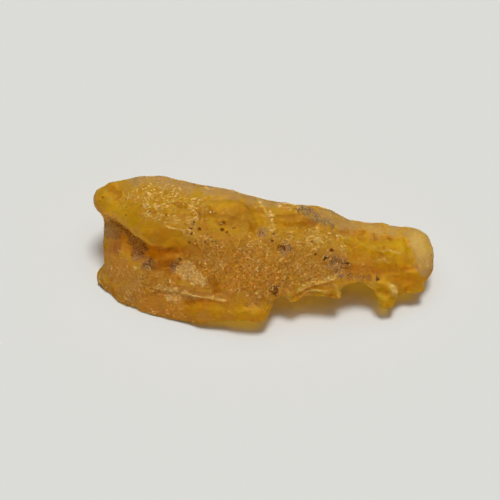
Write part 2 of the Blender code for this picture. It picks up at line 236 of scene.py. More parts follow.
def from_route(points, route):
    """The way to each point from the nearest place on a route of straight stretches."""
    nearest = np.full(points.shape, np.inf)
    for start, end in zip(route, route[1:]):
        start, stretch = np.array(start), np.array(end) - np.array(start)
        along = np.clip((points - start) @ stretch / (stretch @ stretch), 0, 1)
        way = points - (start + along[:, None] * stretch)
        closer = np.linalg.norm(way, axis=1) < np.linalg.norm(nearest, axis=1)
        nearest[closer] = way[closer]
    return nearest


def strokes(points, routes):
    """The strongest of several strokes at each point, each a half width and its route."""
    weight = np.zeros(len(points))
    for half_width, *route in routes:
        weight = np.maximum(weight, fade(np.linalg.norm(from_route(points, route), axis=1), half_width))
    return weight


# %% Let the patches stray
STRAY = 0.8  # mm, for broad patches
FINE_STRAY = 0.22  # mm, for small patches and lines
RAGGED = 0.25  # mm, for pits
places = read_points(piece) / MM
drift = np.stack([waves(places, 2.0, 3, offset) for offset in (4.1, 17.3, 29.9)], axis=1)
strayed = places + STRAY * drift
nearly = places + FINE_STRAY * drift
ragged = places + RAGGED * np.stack([waves(places, 0.6, 2, offset) for offset in (8.8, 35.1, 44.7)], axis=1)
print("straying by up to", round(float(np.abs(STRAY * drift).max()), 2), "mm")

# %% [markdown]
# ## The finishes and where they lie
#
# A maker would stain and rub the piece by hand, one finish after another. Each finish here is a mask on the
# skin's own points, which the material reads later as an attribute. A mask is soft, and the material breaks
# it into grains, so a patch thins out towards its edge as dust does.

# %% Name the patches of each finish
CRUST = (  # the sandy front slope, and the face below the recess
    (-24.0, -6.8, 6.0, 3.0), (-19.6, -7.8, 7.0, 2.4), (-22.4, -8.2, 4.8, 2.8), (-26.0, -7.8, 2.8, 2.4),
    (-9.3, -5.2, 11.8, 5.2), (-2.5, -8.2, 9.3, 7.0), (4.3, -7.4, 9.8, 6.5), (9.2, -7.0, 9.3, 5.5),
    (12.6, -6.6, 8.9, 4.4), (-1.6, -10.2, 7.1, 5.5), (-13.2, -6.3, 9.6, 4.4), (-9.0, -8.5, 8.5, 4.6),
    (-4.0, -5.0, 12.6, 5.0), (1.5, -4.4, 12.2, 5.0), (8.0, -4.6, 11.6, 3.6), (-12.0, -3.6, 13.4, 3.0),
)
CLEAR = (  # the rolled lip, both domes, the lower edge, the glassy end and the ledge
    (-32.0, 7.0, 14.0, 3.6), (-29.5, 6.0, 14.2, 3.8), (-27.0, 4.5, 14.2, 3.8), (-24.5, 2.5, 14.4, 3.8),
    (-22.0, -1.4, 13.6, 4.0), (-19.0, -2.4, 13.6, 3.8), (-16.4, -2.8, 13.8, 3.2), (-4.7, 1.2, 16.0, 6.0),
    (-7.8, 0.2, 15.8, 4.0), (-9.0, -9.2, 7.0, 2.4), (4.8, 0.8, 14.9, 3.0), (7.2, 0.4, 14.4, 2.6),
    (-14.0, -12.0, 3.6, 3.2), (-9.0, -12.8, 4.2, 3.4), (-4.0, -13.8, 4.8, 3.8), (-0.4, -13.8, 4.9, 3.6),
    (22.6, -2.8, 10.4, 4.6), (26.0, -3.0, 10.4, 4.4), (18.4, -2.2, 10.8, 4.0), (24.2, -4.8, 8.8, 4.0),
    (27.6, -5.2, 7.4, 4.6), (28.6, -7.2, 5.0, 5.0), (23.4, -9.2, 5.2, 4.4), (25.0, -10.4, 3.8, 4.2),
    (7.4, -10.6, 5.6, 2.8), (10.8, -10.2, 6.4, 2.8), (14.4, -10.0, 5.6, 2.8),
)
DIRT = (  # the recess under the lip, and dull spots on the slope
    (-31.2, 4.0, 9.4, 2.4), (-30.0, 4.0, 9.1, 2.2), (-28.8, 4.2, 9.5, 1.8), (-27.5, 3.6, 9.4, 2.0),
    (-25.9, 1.9, 8.8, 2.4), (-24.4, 0.2, 8.3, 2.3), (-24.6, -1.6, 7.8, 2.2), (-22.8, -4.2, 7.7, 2.0),
    (-17.4, -5.4, 8.8, 1.6), (-0.4, -1.3, 14.1, 1.2), (4.2, -3.8, 12.3, 1.6), (14.4, -5.0, 9.3, 2.2),
    (15.0, -6.6, 8.0, 1.4),
)
SOIL = (  # dark specks in the same places, in cracks and on the mossy mound
    (-26.6, 2.7, 9.0, 1.2), (-25.9, 2.1, 9.0, 1.5), (-25.0, 1.1, 8.8, 1.6), (-24.2, 0.0, 8.3, 1.5),
    (-26.2, 1.0, 8.3, 1.4), (-25.4, -0.1, 8.0, 1.5), (-24.1, -1.5, 8.1, 1.5), (-23.5, -0.9, 8.2, 1.2),
    (-25.8, -1.2, 7.5, 1.1), (-22.4, -4.0, 8.1, 1.2), (-23.2, -4.4, 7.4, 1.1), (-22.0, -5.0, 7.5, 0.9),
    (-17.2, -5.1, 9.5, 1.1), (-16.2, -4.8, 10.1, 0.9), (-18.0, -5.4, 8.6, 1.1), (-16.8, -6.0, 8.1, 1.0),
    (-30.2, 4.7, 10.1, 0.8), (-29.2, 4.5, 9.7, 0.9), (-28.0, 3.8, 9.5, 1.2), (-27.2, 3.2, 9.3, 1.2),
    (-11.4, -4.1, 14.3, 0.8), (-9.5, -3.8, 14.2, 0.9), (-14.3, -3.7, 13.6, 0.7), (-13.2, -4.0, 13.0, 0.6),
    (-0.4, -1.3, 14.1, 1.0), (5.1, -4.0, 12.5, 1.1), (3.5, -3.4, 12.1, 1.4), (12.2, -4.7, 10.2, 1.2),
    (13.8, -4.6, 9.5, 1.5), (15.3, -4.9, 9.2, 1.6), (15.2, -7.3, 7.8, 0.9), (16.7, -7.2, 7.8, 0.9),
    (18.6, -7.0, 7.8, 1.0), (19.6, -6.9, 7.7, 0.8), (16.3, -5.5, 8.8, 1.2), (14.5, -6.2, 8.4, 1.1),
    (8.4, 3.2, 14.9, 1.4), (10.6, 1.8, 14.8, 1.2),
)
FROST = (  # the pale triangle beside the recess, the flake below it, and flecks on the shelf
    (-16.2, -5.4, 9.4, 1.3), (-14.9, -5.9, 9.0, 1.6), (-14.0, -6.7, 8.4, 1.7), (-13.0, -7.7, 7.9, 1.6),
    (-11.9, -8.5, 7.7, 1.3), (-15.4, -6.9, 7.9, 1.6), (-13.6, -8.0, 7.5, 1.4), (-16.6, -6.2, 8.2, 1.2),
    (-20.4, -8.4, 5.7, 1.2), (-19.2, -8.8, 5.3, 1.4), (-17.6, -9.1, 5.0, 1.5), (-18.4, -9.6, 4.4, 1.3),
    (-17.2, -10.1, 4.1, 1.1), (-15.4, -9.7, 5.2, 1.1), (-13.5, -10.4, 5.1, 1.0), (-25.5, -4.3, 6.7, 0.7),
    (-22.6, 1.8, 16.1, 0.9), (-23.1, 3.5, 16.3, 1.0), (-21.1, 2.8, 16.8, 0.9), (0.9, 2.0, 15.0, 0.9),
    (10.5, -2.4, 13.0, 1.0),
)
HAZE = (  # clay dust in the recess
    (-31.2, 4.0, 9.4, 2.6), (-30.0, 4.0, 9.1, 2.6), (-28.8, 4.2, 9.5, 2.2), (-27.5, 3.6, 9.4, 2.0),
    (-30.3, 4.8, 10.8, 2.4), (-31.2, 4.6, 10.2, 2.2), (-29.0, 4.6, 10.3, 1.8), (-25.9, 1.9, 8.8, 1.8),
    (-24.6, -0.6, 8.1, 1.8),
)
CORNER = (  # a thin veil of the same dust on the low left corner
    (-29.2, -3.6, 4.9, 5.0), (-30.8, -2.0, 3.8, 4.6), (-26.6, -5.6, 3.8, 4.6),
)
MOSS = (  # the mound behind the long dome
    (7.2, 4.4, 14.7, 1.7), (8.7, 3.2, 14.9, 1.9), (10.2, 1.9, 14.8, 1.9), (12.0, 1.2, 14.2, 1.5),
    (13.4, 0.8, 13.5, 1.0),
)
YELLOW = (  # thin rims and lips, and the glassy end
    (5.0, 4.9, 15.0, 2.2), (25.0, -2.0, 10.7, 3.8), (22.6, -3.4, 10.2, 3.0), (24.0, -9.8, 4.4, 2.6),
    (12.4, -8.4, 7.9, 1.8), (10.0, -9.0, 7.9, 1.8), (14.0, -8.6, 7.6, 1.3), (8.0, -9.7, 7.4, 1.4),
    (27.2, -1.8, 10.6, 2.8), (-27.5, 3.6, 13.8, 2.4), (-24.6, 0.2, 13.8, 2.4), (-18.4, 1.6, 16.6, 2.6),
    (10.4, -2.6, 13.0, 2.0), (0.2, -13.2, 5.4, 2.4), (-9.0, -12.8, 4.2, 2.6), (-4.0, -13.8, 4.8, 3.0),
    (5.1, -11.0, 6.1, 2.2), (-13.8, -11.6, 3.8, 2.2), (25.2, -8.6, 5.8, 1.4),
)
DEEP = (  # thick places
    (28.2, -6.2, 6.2, 4.2), (29.6, -7.0, 4.8, 4.2), (25.9, -7.3, 5.9, 2.2), (-9.2, -9.4, 6.8, 2.6),
    (-6.6, -6.4, 10.8, 2.4), (-12.0, -12.0, 4.0, 2.4), (-19.4, -2.6, 13.4, 3.6), (17.4, -3.4, 10.2, 2.6),
    (-32.0, 7.6, 14.6, 3.0), (-22.4, -6.8, 5.2, 3.0), (-18.0, -8.0, 6.6, 2.4), (-32.4, 9.4, 13.6, 2.6),
)
RED = (  # the lump under the lip, the short dome, the back strip's edge, and spots in the crust
    (-19.3, -5.2, 9.6, 2.3), (-20.3, -4.6, 10.2, 2.0), (-18.8, -5.5, 8.1, 2.3), (-20.8, -4.9, 8.0, 1.9),
    (-18.0, -3.6, 10.8, 2.2), (-20.6, -3.4, 11.0, 2.0), (-6.6, -6.6, 10.4, 1.5), (-9.2, -9.4, 6.6, 1.6),
    (-14.4, -11.0, 4.4, 1.6), (13.4, -10.0, 6.0, 1.0), (1.9, -10.0, 6.6, 1.7), (13.0, -0.5, 12.8, 1.2),
    (16.0, 0.3, 11.8, 1.3), (19.1, 0.5, 11.3, 1.3), (22.0, 0.0, 11.0, 1.2), (25.0, -0.3, 10.6, 1.0),
    (4.5, -5.5, 11.1, 0.9), (7.0, -5.2, 11.1, 0.8), (9.0, -5.0, 11.2, 0.8), (-21.4, -7.4, 6.4, 1.6),
    (-17.0, -7.4, 6.6, 1.8), (-13.4, -9.4, 6.0, 1.6), (7.2, 0.6, 14.9, 2.7), (5.3, 0.9, 15.0, 2.3),
    (9.1, 0.5, 14.3, 1.7),
)
GOLDEN = (  # smooth golden swells
    (17.5, -6.0, 8.4, 2.4), (20.0, -5.6, 8.2, 2.0), (3.0, 1.2, 15.0, 2.0), (-16.0, 3.4, 17.0, 2.4),
    (-29.0, 7.6, 15.2, 2.2), (9.0, -1.0, 13.4, 1.8), (-4.7, 1.2, 16.0, 5.6), (-7.6, 0.6, 15.8, 3.8),
    (-2.6, -0.6, 15.2, 3.0), (5.1, 1.2, 15.1, 2.2), (7.1, 1.0, 15.0, 2.3), (9.0, 0.8, 14.4, 1.6),
    (-30.6, 9.6, 15.0, 2.6), (-11.0, 1.6, 16.4, 3.0),
)
PURPLE = (  # dull stains, mostly over the arch and on the left face
    (14.9, -7.4, 7.7, 1.1), (16.9, -7.4, 7.7, 1.6), (18.9, -7.3, 7.5, 1.6), (20.5, -6.7, 7.1, 1.3),
    (-31.2, 3.4, 9.2, 2.6), (-29.6, 3.0, 8.6, 2.4), (-2.0, -12.6, 6.0, 2.0), (-29.2, 0.5, 7.1, 2.2),
)
PALE = (  # the worn end
    (30.6, -0.6, 9.8, 3.6), (31.4, -2.8, 8.6, 3.6), (32.0, -4.2, 6.6, 3.2), (33.2, 0.6, 7.0, 4.2),
    (31.6, 1.8, 9.4, 3.4),
)
STRIP = (  # the dull strip along the top of the back, and a spot low at the left
    (-25.6, -7.4, 1.8, 2.4), (-25.0, 11.2, 16.2, 4.0), (-20.0, 9.6, 16.8, 4.4), (-15.6, 8.3, 16.9, 4.0),
    (-10.4, 7.6, 16.6, 3.6), (-7.5, 7.0, 16.3, 3.0), (-5.7, 6.8, 16.0, 2.8), (17.0, 3.6, 12.6, 3.4),
    (21.0, 3.4, 11.4, 3.0), (-2.0, 5.6, 15.8, 2.4), (-4.5, 7.4, 15.9, 3.0), (-0.2, 5.2, 15.5, 2.6),
    (2.8, 5.8, 14.9, 2.4), (13.2, 2.6, 14.4, 3.6), (17.0, 2.2, 12.4, 3.8), (22.2, 1.8, 11.2, 3.2),
    (26.2, 2.0, 10.8, 3.0), (29.4, 1.4, 10.2, 2.6),
)
FRILL = (  # the flecked shelf, and other flaky edges
    (4.6, 4.8, 14.5, 1.6), (6.2, 5.0, 14.6, 1.4), (-22.4, 3.0, 16.4, 4.0), (-19.4, 1.2, 16.6, 3.6),
    (-23.0, 6.0, 16.4, 4.4), (-17.4, 4.4, 17.0, 4.4), (-13.6, 2.6, 16.4, 3.8), (-26.6, 5.4, 15.2, 3.4),
    (-14.6, -1.0, 15.6, 2.2), (-1.7, 4.8, 15.5, 1.5), (-0.3, 3.5, 15.5, 1.6), (0.6, 2.2, 15.1, 1.7),
    (1.4, 1.0, 14.7, 1.8), (2.0, -0.6, 14.4, 1.9), (9.6, -2.6, 13.2, 3.8), (6.0, -1.6, 13.6, 3.4),
    (12.6, -2.0, 12.8, 3.6), (-20.8, -8.6, 5.4, 2.0), (-17.4, -9.8, 4.8, 2.2), (-13.6, -10.4, 5.2, 1.8),
    (16.6, -2.4, 11.4, 3.0), (22.4, -3.2, 10.2, 2.2), (0.4, -12.6, 5.5, 2.4), (13.6, -10.2, 6.0, 1.8),
    (9.0, -9.4, 7.7, 2.0),
)
RUST = (  # two rusty spots
    (2.0, -10.1, 6.3, 1.2), (1.4, -10.0, 6.8, 0.9), (2.4, -9.5, 6.9, 1.0), (22.3, -6.9, 6.4, 0.8),
)
print("daubs of crust:", len(CRUST), "and of clear resin:", len(CLEAR))

# %% Find the hidden side
# The back and the underside have few patches of their own, so noise lays more there.
BACK = (1.0, 5.0)  # the Y over which the back's patches come in
TURNED_AWAY = (-0.25, 0.1)  # where the skin turns from the camera
DOWN_FROM = (-3.0, -1.0)  # minus the height over which the underside's patches come in
UNDER_FROM = (-9.0, -5.0)  # the Y behind which they do
TO_CAMERA = np.array((0, -0.64, 0.77))
UP_AND_BACK = np.array((0, 0.77, 0.64))
normals = read_points(piece, "normal")
behind = ramp(places[:, 1], *BACK) * ramp(-normals @ TO_CAMERA, *TURNED_AWAY)
under = ramp(-places[:, 2], *DOWN_FROM) * ramp(places[:, 1], *UNDER_FROM)
hidden = np.maximum(behind, under)
patchy = waves(places, length=6.0, octaves=2, offset=51.7)
patchy_too = waves(places, length=4.5, octaves=2, offset=63.2)
facing_back = normals @ UP_AND_BACK
print("out of sight:", share(hidden > 0.5))

# %% Paint the masks
masks = {
    # Painted light: faces turned to the front are laid paler and less orange, as a painted sheen.
    "front": ramp(-normals[:, 1], 0.25, 0.8) * (1 - hidden) * (1 - 0.7 * daubs(strayed, CLEAR)),
    # Painted shade: where the back turns up and away from the camera, the skin is laid dark brown as a dark
    # rim along the top.
    "back_rim_shade": behind * ramp(facing_back, 0.80, 0.97),
    "crust": np.maximum(daubs(strayed, CRUST), hidden * ramp(patchy, -0.1, 0.4)),
    "clear": np.maximum(daubs(strayed, CLEAR), hidden * ramp(-patchy, 0.0, 0.5)),
    "dirt": np.maximum(daubs(strayed, DIRT), 0.75 * hidden * ramp(patchy_too, 0.25, 0.7)),
    "soil": np.maximum(daubs(nearly, SOIL), 0.5 * hidden * ramp(patchy_too, 0.35, 0.7)),
    "golden": daubs(strayed, GOLDEN),
    "frost": daubs(nearly, FROST),
    "moss": np.maximum(daubs(strayed, MOSS), 0.7 * hidden * ramp(-patchy_too, 0.4, 0.8)),
    "yellow": daubs(strayed, YELLOW),
    "red": np.maximum(daubs(strayed, RED), 0.6 * hidden * ramp(patchy_too, 0.3, 0.7)),
    "purple": np.maximum(daubs(strayed, PURPLE), 0.8 * hidden * ramp(-patchy_too, 0.1, 0.6)),
    "deep": np.maximum(daubs(strayed, DEEP), 0.7 * hidden * ramp(-patchy, 0.25, 0.7)),
    "pale": daubs(strayed, PALE),
    "strip": daubs(strayed, STRIP),
    "frill": np.maximum(daubs(strayed, FRILL), 0.6 * hidden * ramp(patchy_too, -0.1, 0.4)),
    "rust": daubs(nearly, RUST),
}
for finish, mask in masks.items():
    print(finish, "on", share(mask > 0.3))

# %% [markdown]
# ## Pits, lines and chipped edges
#
# The crust is pocked where grains of sand fell out, and each pit is dark inside with a pale chipped rim.
# Bright hair lines mark where the resin has cracked or folded, and their paleness is partly a painted
# highlight.
# A chipped edge stands proud on one side only. All of them could be textures of a Displace modifier, one for
# each. A move along the skin's own normals puts every one exactly where it belongs, so they are worked in as
# a carver would, by hand.

# %% Name the pits, lines and edges
PITS = (  # where grains fell out; the last eight lie behind
    (-13.6, -0.4, 15.9, 0.5), (-14.1, -1.6, 15.4, 0.5), (-12.5, -1.3, 15.0, 0.45),
    (-14.1, -2.5, 15.1, 0.5), (-10.1, 2.1, 16.2, 0.32), (-8.3, -0.6, 15.6, 0.36), (-7.8, -0.1, 15.7, 0.42),
    (-8.1, -1.8, 15.4, 0.46), (-7.3, -2.3, 15.2, 0.34), (-22.4, 2.1, 16.2, 0.34), (-19.1, 1.1, 16.5, 0.3),
    (2.0, -1.9, 14.0, 0.52), (1.6, -3.1, 13.5, 0.34), (-2.9, -2.0, 15.2, 0.3), (9.4, -3.0, 13.0, 0.46),
    (13.2, -3.2, 10.9, 0.62), (10.0, -4.4, 11.1, 0.42), (12.0, -4.8, 10.3, 0.52), (16.3, -5.3, 9.1, 0.46),
    (22.3, -6.9, 6.4, 0.6), (2.3, -10.2, 6.2, 0.42), (-10.4, -3.1, 14.5, 0.36), (-10.0, -3.9, 14.3, 0.36),
    (-32.1, 6.9, 15.2, 0.3), (-32.7, 6.4, 14.6, 0.26), (3.4, -3.3, 12.2, 0.42), (3.9, -4.0, 12.1, 0.46),
    (-6.0, -1.5, 15.5, 0.3), (-27.1, 2.8, 14.6, 0.3), (-25.4, 0.4, 8.6, 0.45), (-24.2, -1.4, 8.2, 0.45),
    (-22.4, -4.6, 7.6, 0.4), (-16.8, -5.2, 9.0, 0.4), (8.4, 10.0, 6.4, 0.8), (-14.0, 13.6, 7.0, 0.8),
    (-4.0, 11.6, 9.0, 0.7), (18.0, 7.0, 6.0, 0.7), (-22.0, 14.6, 9.0, 0.8), (27.5, 5.6, 5.0, 0.6),
    (1.0, 9.6, 5.0, 0.6), (-9.0, 12.6, 10.0, 0.6),
)
PALE_LINES = (  # folds and healed cracks, painted paler partly as a highlight where they catch the light
    (0.34, (-21.0, -8.5, 5.6), (-18.4, -9.1, 5.6), (-15.4, -9.8, 5.6)),
    (0.38, (-15.4, -9.8, 5.6), (-12.5, -10.6, 5.5), (-7.8, -11.4, 5.3)),
    (0.26, (-19.2, -0.3, 15.9), (-17.9, -0.5, 15.8), (-15.9, -0.4, 15.9), (-14.9, -0.1, 16.2)),
    (0.24, (-19.6, -0.9, 15.5), (-18.2, -1.6, 15.3), (-16.3, -1.8, 15.3), (-14.3, -1.8, 15.5)),
    (0.42, (7.0, -10.2, 7.1), (8.4, -9.6, 7.6), (10.0, -9.1, 7.8), (11.9, -8.6, 7.9), (13.5, -8.2, 7.8)),
    (0.3, (7.1, -10.5, 5.6), (8.6, -10.1, 6.7), (10.6, -10.0, 6.8), (12.3, -10.1, 6.4)),
    (0.3, (13.5, -8.4, 7.6), (14.1, -9.6, 6.9), (14.7, -10.3, 5.7)),
    (0.44, (24.4, -7.8, 6.2), (25.0, -8.8, 5.6), (25.6, -9.6, 4.5)),
    (0.75, (25.0, -8.3, 6.0), (26.0, -8.8, 5.0)),
    (0.3, (-0.3, 3.5, 15.5), (0.6, 2.2, 15.1), (1.4, 1.0, 14.7), (2.0, -0.3, 14.5)),
    (0.26, (21.4, -2.1, 10.8), (23.0, -3.1, 10.3), (24.9, -3.0, 10.5), (26.9, -3.9, 10.2)),
    (0.24, (22.2, -4.6, 8.9), (23.6, -4.0, 9.6), (25.0, -5.0, 8.4)),
)
DARK_LINES = (  # open cracks, filled with dirt
    (0.24, (10.0, -4.4, 11.1), (12.0, -4.8, 10.3), (13.8, -5.0, 9.6), (16.1, -5.3, 9.1)),
    (0.24, (15.4, -7.0, 8.1), (17.9, -6.9, 8.1), (19.6, -6.9, 7.8)),
    (0.15, (-8.1, -1.8, 15.4), (-7.3, -2.3, 15.2), (-6.4, -3.0, 14.8)),
    (0.45, (-30.4, 4.9, 10.4), (-29.2, 4.5, 9.7), (-27.8, 3.6, 9.4), (-26.4, 2.8, 9.2)),
)
# A chipped edge: its height, its reach, the side that stands proud, and its route.
EDGES = (
    (0.3, 1.4, (0, 0.4, 0.9), (-21.0, -8.5, 5.3), (-18.4, -9.1, 5.3), (-15.4, -9.8, 5.3),
     (-12.5, -10.6, 5.2), (-7.8, -11.4, 5.0)),
    (0.4, 1.8, (-1.0, -0.2, 0.3), (27.8, 1.3, 10.2), (29.1, -0.9, 9.7), (29.8, -3.5, 8.2),
     (30.6, -5.3, 5.7)),
    (0.3, 1.4, (-1.0, 0, 0.2), (2.2, -9.9, 6.6), (2.4, -11.2, 6.1), (2.5, -12.6, 4.9)),
    (0.2, 1.4, (0, 0, -1.0), (22.4, -5.6, 7.4), (25.2, -5.2, 8.0), (27.7, -5.1, 7.3), (30.1, -5.0, 6.6)),
    (0.3, 1.2, (0.7, 0.5, 0.2), (-1.7, 4.8, 15.5), (-0.3, 3.5, 15.5), (0.6, 2.2, 15.1), (1.4, 1.0, 14.7),
     (2.0, -0.3, 14.5)),
    (0.3, 1.0, (0, 0.3, 0.9), (7.0, -10.2, 6.9), (8.4, -9.6, 7.4), (10.0, -9.1, 7.6), (11.9, -8.6, 7.7),
     (13.5, -8.2, 7.6)),
)
PIT_SPREAD = 1.05  # a ragged pit needs a little more reach to keep its size
PIT_DEPTH = 0.45  # mm
LINE_RISE = 0.14  # mm, and a dark line is cut as deep
EDGE_SOFTNESS = 0.18  # mm over which a chipped edge changes sides

masks["pit"] = daubs(ragged, [(x, y, z, PIT_SPREAD * reach) for x, y, z, reach in PITS])
masks["line"] = strokes(nearly, PALE_LINES)
masks["crack"] = strokes(nearly, DARK_LINES)
print(len(PITS), "pits,", len(PALE_LINES) + len(DARK_LINES), "lines and", len(EDGES), "edges")

# %% Work the relief into the skin
raised = LINE_RISE * (masks["line"] - masks["crack"]) - PIT_DEPTH * masks["pit"]
for height, reach, proud, *route in EDGES:
    way = from_route(nearly, route)
    away = np.linalg.norm(way, axis=1)
    side = way @ (np.array(proud) / np.linalg.norm(proud))
    raised += height * np.clip(1 - away / reach, 0, 1) * ramp(side, -EDGE_SOFTNESS, EDGE_SOFTNESS)
carved = places + read_points(piece, "normal") * raised[:, None]
move_points(piece, carved * MM)
print("relief from", round(float(raised.min()), 2), "to", round(float(raised.max()), 2), "mm")

# %% [markdown]
# ## The grain
#
# Weathered resin feels like sandpaper, a fresh break is chipped into small facets, and the lump that once
# ran is smooth. Bump maps would leave the outline smooth, so noise moves the mesh itself: a Displace
# modifier for each kind of grain, kept to its place by a vertex group.


# %% Displace through a vertex group
def weight_group(item, name, weights):
    """Makes a vertex group with a weight for each vertex, and returns its name."""
    group = item.vertex_groups.new(name=name)
    for index in np.nonzero(weights > 0.01)[0]:
        group.add([int(index)], float(weights[index]), "REPLACE")
    return group.name


def displace(item, texture, kind, size, strength, group, **settings):
    """Displaces an object, where a group says, by a procedural texture with features of a size."""
    pattern = bpy.data.textures.new(texture, kind)
    pattern.noise_scale = size
    for setting, value in settings.items():
        setattr(pattern, setting, value)
    apply_modifier(
        item, "DISPLACE", texture=pattern, texture_coords="LOCAL", strength=strength, mid_level=0.5,
        vertex_group=group,
    )


# %% Smooth the melted lump
# It lies under the lip. The mask is 1 at its middle and 0 away from it.
MELTED = ((-19.0, -4.4, 10.4, 3.6), (-21.5, -3.4, 10.0, 2.6), (-16.6, -4.0, 10.6, 2.6))
MELT_PASSES = 40
melted = np.clip(2 * daubs(places, MELTED), 0, 1)
apply_modifier(
    piece, "SMOOTH", factor=0.5, iterations=MELT_PASSES, vertex_group=weight_group(piece, "melted", melted)
)
print("melted:", share(melted > 0.5))

# %% Give the skin its grain
SMOOTH_SKIN = 0.15  # the share of the sand's height that smooth skin keeps
GLASSY_FROM = (2.0, 8.0)  # the X over which the glassy end's chips come in
rough = (
    masks["crust"] + 0.8 * masks["soil"] + 0.9 * masks["frost"] + 0.6 * masks["moss"] + 0.4 * masks["frill"]
)
rough = np.clip(rough, SMOOTH_SKIN, 1) * (1 - 0.8 * masks["clear"])
glassy = np.clip(masks["clear"] + masks["yellow"] - masks["crust"], 0, 1) * ramp(places[:, 0], *GLASSY_FROM)
sandy = weight_group(piece, "sandy", rough)
chipped = weight_group(piece, "chipped", glassy)
everywhere = weight_group(piece, "everywhere", np.full(len(places), 1.0))
displace(piece, "sand_grain", "CLOUDS", size=0.55 * MM, strength=0.42 * MM, group=sandy, noise_depth=1)
displace(piece, "weather_lumps", "CLOUDS", size=1.5 * MM, strength=0.22 * MM, group=everywhere, noise_depth=2)
displace(
    piece, "glassy_chips", "VORONOI", size=1.7 * MM, strength=0.75 * MM, group=chipped, noise_intensity=1.0
)
print("grain on", share(rough > 0.3), "and chips on", share(glassy > 0.3))

# %% [markdown]
# ## The underside
#
# A raw lump lies on flats that were worn underneath it, and the grain just worked in now reaches below the
# table's top. A boolean cut with a block would take it off and leave long thin triangles. Lifting each low
# point to the table's height, with a hair of clearance, keeps the even squares.

# %% Rub the underside flat
CLEARANCE = 0.02  # mm
rubbed = read_points(piece)
print("rubbed off below the table:", round(-float(rubbed[:, 2].min()) / MM, 2), "mm")
rubbed[:, 2] = np.maximum(rubbed[:, 2], CLEARANCE * MM)
move_points(piece, rubbed)

# %% [markdown]
# ## Rims and hollows
#
# Light leaves resin at its rims, so they are painted paler, as a glow, and its hollows are laid darker.
# Blender's Pointiness would tell them apart, though only between neighbouring points. Here a copy of the
# skin is smoothed hard, and each point is measured against it: what stands above the smooth copy is a rim,
# what lies below it is a hollow.

# %% Measure rims and hollows
RIM_HEIGHT = 0.30  # mm above the smooth copy, where a place counts as all rim
RIM_PASSES = 60
select_only(piece)
bpy.ops.object.duplicate()
smooth_copy = bpy.context.object
apply_modifier(smooth_copy, "SMOOTH", factor=0.5, iterations=RIM_PASSES)
above = (read_points(piece) - read_points(smooth_copy)) / MM
height = np.einsum("ij,ij->i", above, read_points(smooth_copy, "normal")) / RIM_HEIGHT
bpy.data.objects.remove(smooth_copy)
masks["rim"] = np.clip(height, 0, 1)
masks["hollow"] = np.clip(-height, 0, 1)
print("rims on", share(height > 0.5), "and hollows on", share(height < -0.5))

# %% Leave the masks on the skin
for name, mask in masks.items():
    layer = piece.data.attributes.new(name, "FLOAT", "POINT")
    layer.data.foreach_set("value", mask.astype(np.float32))
select_only(piece)
bpy.ops.object.shade_smooth()
print(len(masks), "masks on", len(places), "points")

# %% [markdown]
# ## Chips, sand and dust
#
# Pale chips of resin cling to the flecked shelf, the crust and the frosted patches. Grains of sand are
# stuck in the crust, dust lies on the dull and mossy places, clay hazes the recess, and dark soil is lodged
# in the hollows. A particle system could strew them all. Here one grain is modelled, and copies of it are
# set on the skin's own points, picked at random but more often where a mask is strong, so the same skin
# always gets the same grains.

# %% Model one grain
GRAIN_ROUGHNESS = 0.22  # of its half size

bpy.ops.object.select_all(action="DESELECT")
bpy.ops.mesh.primitive_uv_sphere_add(segments=3, ring_count=3, radius=1)
grain = bpy.context.object
bpy.ops.object.mode_set(mode="EDIT")
bpy.ops.mesh.select_all(action="SELECT")
bpy.ops.transform.vertex_random(offset=GRAIN_ROUGHNESS, uniform=1.0, normal=0.0, seed=7)
bpy.ops.mesh.quads_convert_to_tris()
bpy.ops.object.mode_set(mode="OBJECT")
grain_corners = read_points(grain)
grain_faces = np.array([tuple(polygon.vertices) for polygon in grain.data.polygons])
bpy.data.objects.remove(grain)
print("one grain has", len(grain_faces), "faces")


# %% Strew copies of the grain
COMBED = (0, 2.5, 0)  # turns most grains the long way of the piece, as the resin's fibres run
SMALL_ONES = 1.4  # above 1, more grains are small than large
skin_points = read_points(piece) / MM
skin_normals = read_points(piece, "normal")


def strew(name, chances, count, smallest, largest, seed):
    """Sets copies of the grain on the skin's points, likelier where the chance is high. Half sizes are along,
    across and up, in millimetres."""
    dice = np.random.default_rng(seed)
    picked = dice.choice(len(skin_points), size=count, replace=False, p=chances / chances.sum())
    up = skin_normals[picked]
    along = np.cross(up, dice.normal(size=(count, 3)) + COMBED)
    along /= np.linalg.norm(along, axis=1, keepdims=True)
    across = np.cross(up, along)
    growth = dice.random((count, 1)) ** SMALL_ONES
    sizes = np.array(smallest) + growth * (np.array(largest) - np.array(smallest))
    corners = skin_points[picked][:, None, :] + sum(
        grain_corners[None, :, axis, None] * (sizes[:, axis, None] * way)[:, None, :]
        for axis, way in enumerate((along, across, up))
    )
    faces = grain_faces[None] + len(grain_corners) * np.arange(count)[:, None, None]
    mesh = bpy.data.meshes.new(name)
    mesh.from_pydata((corners * MM).reshape(-1, 3).tolist(), [], faces.reshape(-1, 3).tolist())
    tone = mesh.attributes.new("tone", "FLOAT", "POINT")
    tone.data.foreach_set("value", np.repeat(dice.random(count), len(grain_corners)).astype(np.float32))
    item = bpy.data.objects.new(name, mesh)
    scene.collection.objects.link(item)
    return item


